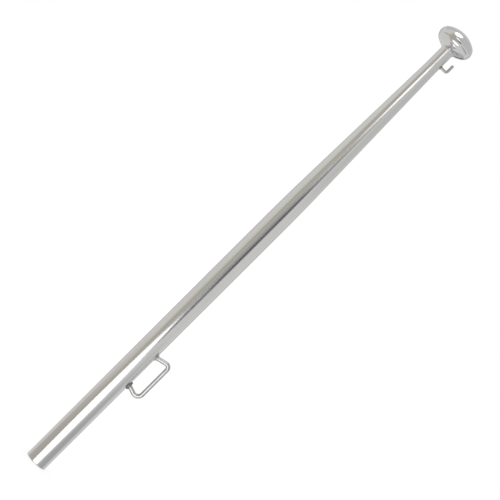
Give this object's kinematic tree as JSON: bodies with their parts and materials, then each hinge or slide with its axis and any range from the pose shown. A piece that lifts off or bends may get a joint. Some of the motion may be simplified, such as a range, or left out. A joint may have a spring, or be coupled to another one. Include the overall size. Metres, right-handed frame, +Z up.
{
  "type": "boat flagstaff",
  "caption": "Slim polished stainless flagstaff: tapered tube with a flattened ball truck, a flag hook under it and a line loop near the foot.",
  "frame": {"origin": "centre of the tube's bottom face", "axes": "+Z up the staff, +X from the staff towards the line loop and the flag hook, +Y completes the right-handed frame; the part is symmetric about y = 0"},
  "size_m": [0.0531, 0.0424, 0.635],
  "materials": {
    "polished_tube": "stainless steel tube, machine polished to a mirror, with faint polishing lines round it",
    "polished_truck": "pressed stainless steel, seam ground flush and mirror polished",
    "drawn_wire": "bright drawn stainless wire, lightly polished",
    "bent_rod": "stainless rod, bent cold and polished",
    "dressed_weld": "weld bead, ground round and polished",
    "raw_weld": "weld bead with fine ripples and a faint heat tint"
  },
  "bodies": {
    "root": {"pole_tube": "polished_tube", "truck_weld": "dressed_weld", "truck_lower_shell": "polished_truck", "truck_upper_shell": "polished_truck", "flag_hook": "drawn_wire", "hook_weld": "raw_weld", "line_loop": "bent_rod", "loop_upper_weld": "raw_weld", "loop_lower_weld": "raw_weld"}
  },
  "joints": []
}
